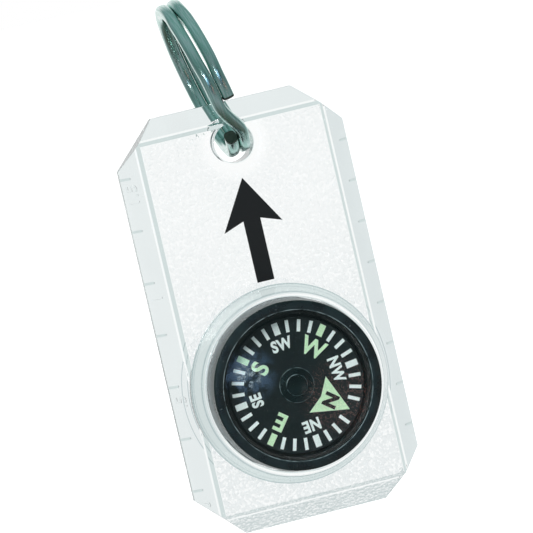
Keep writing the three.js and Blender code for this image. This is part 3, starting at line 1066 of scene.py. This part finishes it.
class MakeDialMarks(Maker):
    """The dial's marks, letters and arrowhead, as thin layers of ink and paint."""

    bl_idname = "compass.make_dial_marks"
    bl_label = "Dial marks"

    def execute(self, context):
        colours, sizes = context.scene.compass_finishes, context.scene.compass_dial
        white = ink("white ink", tuple(colours.ink))
        glow = ink("luminous paint", tuple(colours.glow), 0.6, 0.1)
        black = ink("black dial ink", (0.01, 0.012, 0.012))
        points = np.arange(32)
        fine = points[points % 4 > 0] * 360 / 32
        self.ticks("fine_marks", fine, sizes.fine, sizes, white)
        self.ticks("diagonal_marks", np.array([45, 135, 225, 315]), sizes.wide, sizes, white)
        self.ticks("main_marks", np.array([90, 180, 270]), sizes.wide, sizes, glow)
        self.arrowhead(glow)
        words, place = (("E", 90), ("S", 180), ("W", 270)), (sizes.letter_radius, sizes.letter)
        self.letters("main_letters", words, *place, glow, 0.03, narrow=0.95)
        words = (("NE", 45), ("SE", 135), ("SW", 225), ("NW", 315))
        place = (sizes.small_radius, sizes.small)
        self.letters("diagonal_letters", words, *place, white, 0.04, narrow=0.85)
        place = (sizes.north_radius, sizes.north)
        self.letters("north_letter", (("N", 0),), *place, black, 0.05, lift=0.035)
        return {"FINISHED"}

    def layer(self, name, outlines, material, lift=0.005, depth=0.02):
        """Flat shapes on the face, as thin prisms."""
        outlines = np.asarray(outlines)
        heading = card_heading()
        s, c = sin(heading), cos(heading)
        across = outlines[..., 0] * c + outlines[..., 1] * s
        up = outlines[..., 1] * c - outlines[..., 0] * s
        near = front(across, up, H_FACE + lift * MM, CAPSULE)
        far = front(across, up, H_FACE + (lift + depth) * MM, CAPSULE)
        made = prisms(name, near, far)
        return complete(made, "card", "dial_print", None, material)

    def ticks(self, name, degrees, half, sizes, material):
        """Radial bars between two radii, at clockwise angles from north."""
        inner, outer = sizes.inner, sizes.outer
        bar = np.array([(-half, inner), (half, inner), (half, outer), (-half, outer)])
        self.layer(name, ring_of(bar, np.radians(degrees)), material)

    def arrowhead(self, material):
        """The north arrowhead: a swallow-tailed triangle."""
        tail = radians(40.5)
        half = np.array([(0, 7.0), (3.6 * sin(tail), 3.6 * cos(tail)), (0, 3.2)]) * MM
        outline = np.array([half[0], half[1], half[2], half[1] * (-1, 1)])
        self.layer("north_arrow", outline[None], material)

    def letters(self, name, words, radius, height, material, weight, lift=0.005, narrow=1.0):
        """Words round the face at clockwise angles from north, with their tops outwards."""
        placements = []
        for text, degrees in words:
            turn = radians(degrees) + card_heading()
            outwards = Vector((sin(turn), 0, cos(turn)))
            across = Vector((cos(turn), 0, -sin(turn)))
            middle = Vector(front(0, 0, H_FACE + lift * MM, CAPSULE)) + outwards * radius
            placements.append((text, height, placed(across, outwards, (0, -1, 0), middle)))
        made = lettering(name, placements, 0.02 * MM, weight, narrow)
        return complete(made, "card", "dial_print", None, material)


class MakeRing(Maker):
    """The split ring: two turns of wire that cross over once."""

    bl_idname = "compass.make_ring"
    bl_label = "Split ring"

    def execute(self, context):
        sizes = context.scene.compass_ring
        first = sizes.cross_start + sizes.cross_span + sizes.cut_gap
        last = first + 2 * tau - sizes.cross_span - 2 * sizes.cut_gap
        turn = np.linspace(first, last, sizes.steps)
        line = self.centre_line(turn, sizes)
        tangent = self.centre_line(turn + 0.001, sizes) - line
        tangent /= np.linalg.norm(tangent, axis=1)[:, None]
        side = np.array([1.0, 0, 0]) - tangent * tangent[:, :1]
        side /= np.linalg.norm(side, axis=1)[:, None]
        outwards = np.cross(tangent, side)
        u, v = self.section(sizes)
        grid = line[:, None] + u[:, None] * side[:, None] + v[:, None] * outwards[:, None]
        grid = np.concatenate([self.end(grid, line, 0), grid, self.end(grid, line, -1)[::-1]])
        made = mesh_object("ring_wire", grid, grid_faces(*grid.shape[:2]).tolist(), 50)
        self.mark_wire(made.data, sizes)
        self.choose_dark_ends(made.data, line)
        made.data.transform(self.place(sizes))
        complete(made, "ring", "ring_steel", "split_ring", ring_steel(),
                 bare_metal("burnt steel", (0.13, 0.135, 0.115), 0.3))
        even_shading(made)
        return {"FINISHED"}

    def section(self, sizes):
        """The wire's section |u/a|^p + |v/b|^p = 1, with a and b half its two widths."""
        return flattened(40, 2.9, sizes.axial / 2, sizes.radial / 2)

    def centre_line(self, turn, sizes):
        """Two turns about X: (side, -r sin a, -r cos a), where the side goes from one turn to
        the other by a smooth step over the crossing, and is wider over the splayed stretch."""
        radius = sizes.radius - sizes.radial / 2
        ease = 0.25
        step = smooth((turn - sizes.cross_start - tau) / sizes.cross_span)
        way = (turn % tau - sizes.splay_from) / (sizes.splay_to - sizes.splay_from)
        splay = sizes.splay * (smooth(way / ease) - smooth((way - 1 + ease) / ease))
        side = (sizes.pitch + splay) * (0.5 - step)
        return np.stack([side, -radius * np.sin(turn), -radius * np.cos(turn)], 1)

    def end(self, grid, line, index):
        """Closes a cut end: its last section again, drawn in to a small edge and to a point."""
        drawn_in = 0.9
        edge = line[index] + (grid[index] - line[index]) * drawn_in
        return np.stack([np.broadcast_to(line[index], edge.shape), edge])

    def choose_dark_ends(self, mesh, line):
        """Puts the darker finish on the last stretch of both cut ends."""
        centres = read(mesh.polygons, "center")
        stretch, reach = 0.22 * MM, 1.1 * MM
        dark_ends = np.zeros(len(centres), bool)
        for at, inwards in ((line[0], line[1] - line[0]), (line[-1], line[-2] - line[-1])):
            inwards = inwards / np.linalg.norm(inwards)
            offset = centres - at
            depth = offset @ inwards
            across = np.linalg.norm(offset - depth[:, None] * inwards, axis=1)
            dark_ends |= (abs(depth) < stretch) & (across < reach)
        mesh.polygons.foreach_set("material_index", dark_ends.astype(np.int32))

    def place(self, sizes):
        """Turns the ring about its long axis, leans it towards -X and puts the inside of its
        top at the origin."""
        top = Matrix.Translation((0, 0, sizes.radial - sizes.radius))
        return Matrix.Rotation(-sizes.lean, 4, "Y") @ top @ Matrix.Rotation(-sizes.yaw, 4, "Z")

    def mark_wire(self, mesh, sizes):
        """Keeps, for the steel's lines, each point's place along and across the wire."""
        x, y, z = read(mesh.vertices, "co").T
        wire = np.stack([np.arctan2(y, z) * sizes.radius, x, np.hypot(y, z)], 1)
        attribute = mesh.attributes.new("wire", "FLOAT_VECTOR", "POINT")
        attribute.data.foreach_set("vector", wire.astype(np.float32).ravel())


# What the surround shows, as (position, colour) stops. Straight through clear plastic, from the
# side of the camera to straight behind:
THROUGH_STOPS = (
    (0.0, (0.05, 0.07, 0.075)), (0.35, (0.20, 0.25, 0.25)), (0.6, (0.74, 0.80, 0.80)),
    (0.87, (0.76, 0.83, 0.83)), (0.92, (0.72, 0.79, 0.79)), (0.95, (0.82, 0.86, 0.87)),
    (0.9775, (0.99, 1.0, 1.0)), (0.992, (1.03, 1.035, 1.035)), (0.998, (1.06, 1.06, 1.06)),
)
# Mirrored, from straight down to straight up:
MIRRORED_STOPS = (
    (0.0, (0.09, 0.10, 0.08)), (0.12, (0.16, 0.18, 0.17)), (0.25, (0.28, 0.33, 0.34)),
    (0.5, (0.145, 0.205, 0.205)), (0.68, (0.17, 0.26, 0.26)), (0.85, (0.22, 0.33, 0.33)),
    (1.0, (0.28, 0.40, 0.40)),
)
# Patches of light that are mirrored: their axis, the cosines at their edge and core, the size and
# detail of their panes, the noise levels between which a pane starts, and their colour.
PATCHES = (
    ((-0.02, -1.0, 0.0), (0.992, 0.9995), (0.035, 3.0), (0.38, 0.62), (1.1, 1.9, 3.2)),
    ((-0.02, -1.0, 0.0), (0.9975, 0.9998), (0.016, 3.0), (0.45, 0.6), (5.0, 6.5, 7.5)),
    ((0.31, -0.935, -0.17), (0.985, 0.997), (0.007, 2.0), (0.5, 0.64), (2.0, 1.1, 1.0)),
)
LENS_MIRRORS = Vector((0.17, -0.98, -0.075)).normalized()
WHITE = (1.0, 1.0, 1.0)


class MakeStudio(Maker):
    """The stage: a pale floor, soft light from a pale surround, lamps and the camera."""

    bl_idname = "compass.make_studio"
    bl_label = "Studio"

    def execute(self, context):
        settings = context.scene.compass_studio
        self.floor(settings)
        self.surround(context.scene, settings)
        self.lamps(settings)
        self.camera(context.scene, settings)
        context.scene.view_settings.view_transform = "Standard"
        return {"FINISHED"}

    def floor(self, settings):
        """A wide pale floor below the compass."""
        reach = 3.0
        level = PLATE_LOW[2] - settings.floor_drop
        corner = np.array([(-1, -1), (1, -1), (1, 1), (-1, 1)]) * reach
        points = np.column_stack([corner, np.full(4, level)])
        mesh = bpy.data.meshes.new("floor")
        mesh.from_pydata(points.tolist(), [], [(0, 1, 2, 3)])
        made = bpy.data.objects.new("floor", mesh)
        bpy.context.scene.collection.objects.link(made)
        finish = Finish("floor")
        tone = finish.noise(0.4, detail=1.0)
        base = finish.blend(tone.ramp(0.3, 0.7), (0.93, 0.93, 0.93), (0.95, 0.95, 0.95))
        mesh.materials.append(finish.surface(
            Base_Color=base, Roughness=0.9, Emission_Color=(1, 1, 1, 1), Emission_Strength=0.4
        ))
        made.visible_glossy = False
        made.visible_transmission = False

    def surround(self, scene, settings):
        """White behind the object; paler and darker bands for what glass and metal show."""
        world = bpy.data.worlds.new("surround")
        world.use_nodes = True
        tree = world.node_tree
        tree.nodes.clear()
        finish = Finish("surround", tree)
        direction = finish.node("ShaderNodeTexCoord").node.outputs["Generated"]
        height = finish.node("ShaderNodeSeparateXYZ", {}, {0: direction}).value("Z")
        away = finish.towards(direction, -self.view_axis(settings))
        ahead = away * 0.5 + 0.5
        through = finish.node("ShaderNodeValToRGB", {"stops": THROUGH_STOPS}, {"Fac": ahead})
        fraction = {"Fac": height * 0.5 + 0.5}
        mirrored = finish.node("ShaderNodeValToRGB", {"stops": MIRRORED_STOPS}, fraction)
        lens = finish.towards(direction, LENS_MIRRORS).ramp(0.93, 0.99)
        mirrored = finish.blend(lens, mirrored.node.outputs[0], (0.03, 0.07, 0.075))
        behind = away.ramp(0.6, 0.98) * height.ramp(-0.8, -0.4)
        mirrored = finish.blend(behind, mirrored, WHITE)
        for axis, reach, (size, detail), levels, rgb in PATCHES:
            patch = finish.towards(direction, Vector(axis).normalized()).ramp(*reach)
            panes = finish.noise(size, detail, direction).ramp(*levels)
            mirrored = finish.blend(patch * panes, mirrored, rgb)
        seen = finish.node("ShaderNodeLightPath")
        straight = 1 - (seen.value("Glossy Depth") + seen.value("Diffuse Depth")).ramp(0.0, 1.0)
        camera_side = straight * ahead.ramp(0.6, 0.75, 1.0, 0.0)
        through = finish.blend(camera_side, through.node.outputs[0], (0.84, 0.89, 0.89))
        mixed = finish.blend(seen.value("Is Transmission Ray"), mirrored, through)
        mixed = finish.blend(seen.value("Is Diffuse Ray"), mixed, (0.9, 0.92, 0.92))
        mixed = finish.blend(seen.value("Is Camera Ray"), mixed, WHITE)
        background = finish.node("ShaderNodeBackground", {}, {"Color": mixed, "Strength": 1.0})
        output = tree.nodes.new("ShaderNodeOutputWorld")
        tree.links.new(background.node.outputs[0], output.inputs["Surface"])
        scene.world = world

    def view_axis(self, settings):
        """Unit vector from the compass to the camera."""
        return Vector((
            sin(settings.azimuth) * cos(settings.elevation),
            -cos(settings.azimuth) * cos(settings.elevation),
            sin(settings.elevation),
        ))

    def lamp(self, name, place, size, power, mirrored):
        """A square area lamp that faces the capsule; metal and glass may mirror it or not."""
        data = bpy.data.lights.new(name, "AREA")
        data.size = size
        data.energy = power
        made = bpy.data.objects.new(name, data)
        aim = Vector((CENTRE_X, 0, PLATE_MIDDLE_Z))
        made.location = place
        made.rotation_euler = (Vector(place) - aim).to_track_quat("Z", "Y").to_euler()
        made.visible_camera = False
        made.visible_glossy = mirrored
        bpy.context.scene.collection.objects.link(made)

    def lamps(self, settings):
        """A key lamp from the upper left, a strip above and a small one beside the camera."""
        self.lamp("key", (-0.45, -0.5, 0.55), 0.30, 4.6, False)
        self.lamp("top", (0.0, 0.1, 0.7), 0.25, 0.9, False)
        self.lamp("spark", self.view_axis(settings) * 0.8, 0.02, 0.15, True)

    def camera(self, scene, settings):
        """A long lens from the front, a little left and above, rolled about its line of sight."""
        back = self.view_axis(settings)
        data = bpy.data.cameras.new("camera")
        data.lens = settings.lens
        data.clip_start, data.clip_end = 0.01, 20
        made = bpy.data.objects.new("camera", data)
        middle = Vector((CENTRE_X, 0, PLATE_MIDDLE_Z))
        made.location = middle + Vector(settings.aim) + back * settings.distance
        made.rotation_mode = "QUATERNION"
        level = back.to_track_quat("Z", "Y")
        made.rotation_quaternion = level @ Quaternion((0, 0, 1), -settings.roll)
        scene.collection.objects.link(made)
        scene.camera = made


class CompassPanel(bpy.types.Panel):
    """Lists the compass's operators."""

    bl_idname = "VIEW3D_PT_compass"
    bl_label = "Baseplate compass"
    bl_space_type = "VIEW_3D"
    bl_region_type = "UI"
    bl_category = "Compass"

    def draw(self, context):
        for maker in MAKERS:
            self.layout.operator(maker.bl_idname)


GROUPS = {
    "compass_plate": PlateSizes,
    "compass_capsule": CapsuleSizes,
    "compass_dial": DialSizes,
    "compass_ring": RingSizes,
    "compass_finishes": Finishes,
    "compass_studio": StudioSettings,
}
MAKERS = (MakePlate, MakeDirectionArrow, MakeHousing, MakeLens, MakePivot, MakeCard, MakeDialMarks,
          MakeRing, MakeStudio)


def register():
    """Registers the properties, the operators and the panel."""
    for name, group in GROUPS.items():
        bpy.utils.register_class(group)
        setattr(bpy.types.Scene, name, PointerProperty(type=group))
    for maker in MAKERS:
        bpy.utils.register_class(maker)
    bpy.utils.register_class(CompassPanel)


def unregister():
    """Removes them again."""
    bpy.utils.unregister_class(CompassPanel)
    for maker in reversed(MAKERS):
        bpy.utils.unregister_class(maker)
    for name, group in reversed(GROUPS.items()):
        delattr(bpy.types.Scene, name)
        bpy.utils.unregister_class(group)


def main():
    """Makes every piece in order."""
    register()
    for maker in MAKERS:
        group, operator = maker.bl_idname.split(".")
        getattr(getattr(bpy.ops, group), operator)()


if __name__ == "__main__":
    main()
